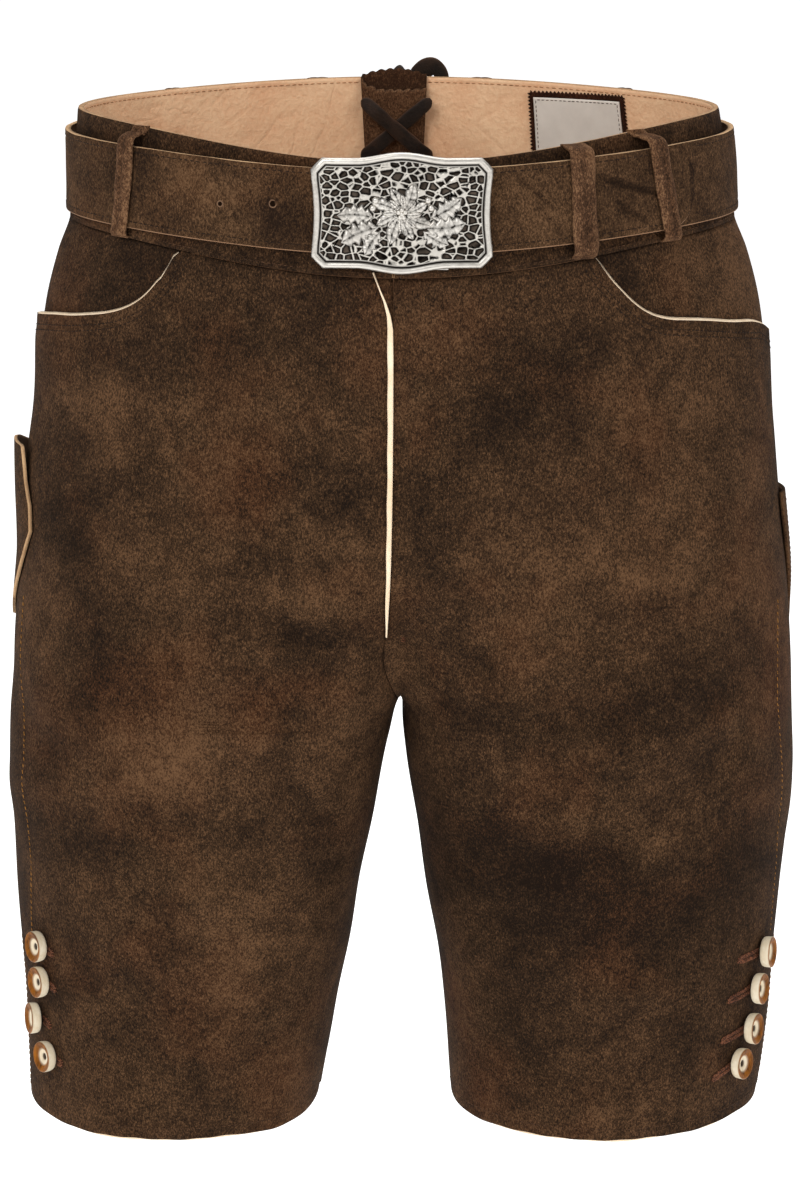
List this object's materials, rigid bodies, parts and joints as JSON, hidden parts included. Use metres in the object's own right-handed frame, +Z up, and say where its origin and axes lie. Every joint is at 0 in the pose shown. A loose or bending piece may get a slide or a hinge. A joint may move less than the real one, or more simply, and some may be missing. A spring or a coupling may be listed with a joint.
{
  "type": "short lederhosen with belt, held open in worn form",
  "caption": "Knee-length suede leather shorts with fly front, scooped hip pockets, side slits with horn buttons, belt with a cast buckle and laced back vent.",
  "frame": {"origin": "middle of the waist opening, level with the top edge of the waistband at the sides", "axes": "+Z up, front of the garment towards -Y, the wearer's left towards +X"},
  "size_m": [0.4442, 0.2666, 0.5836],
  "materials": {
    "suede": "mottled dark brown suede, matt napped outer face and pale tan inner face",
    "cut_edge": "raw cream cut edge of the hide",
    "silver": "cast silver coloured metal with dark patina in the recesses",
    "horn": "polished stag horn, ivory wall and amber brown ring",
    "lace": "smooth dark brown leather lace",
    "label_backing": "dark brown pinked suede backing",
    "label_cloth": "plain off-white woven label"
  },
  "bodies": {
    "root": {"back_panel_left": "suede", "back_panel_right": "suede", "belt_loop_back_left": "suede", "belt_loop_back_right": "suede", "belt_loop_front_left": "suede", "belt_loop_front_right": "suede", "belt_loop_side_left": "suede", "belt_loop_vent_left": "suede", "belt_loop_vent_right": "suede", "belt_strap": "suede", "buckle_hook": "silver", "buckle_plate": "silver", "button_left_1": "horn", "button_left_2": "horn", "button_left_3": "horn", "button_left_4": "horn", "button_right_1": "horn", "button_right_2": "horn", "button_right_3": "horn", "button_right_4": "horn", "fly_edge": "cut_edge", "front_panel_left": "suede", "front_panel_right": "suede", "hip_facing_left": "suede", "hip_facing_right": "suede", "knife_pocket": "suede", "label": "label_cloth", "label_backing": "label_backing", "lace_cross_over": "lace", "lace_cross_under": "lace", "lace_end_left": "lace", "lace_end_right": "lace", "lace_knot": "lace", "lace_loop_left": "lace", "lace_loop_right": "lace", "seat_pocket": "suede", "slit_placket_left": "suede", "slit_placket_right": "suede", "vent_gusset": "suede", "waistband_left": "suede", "waistband_right": "suede"}
  },
  "joints": []
}
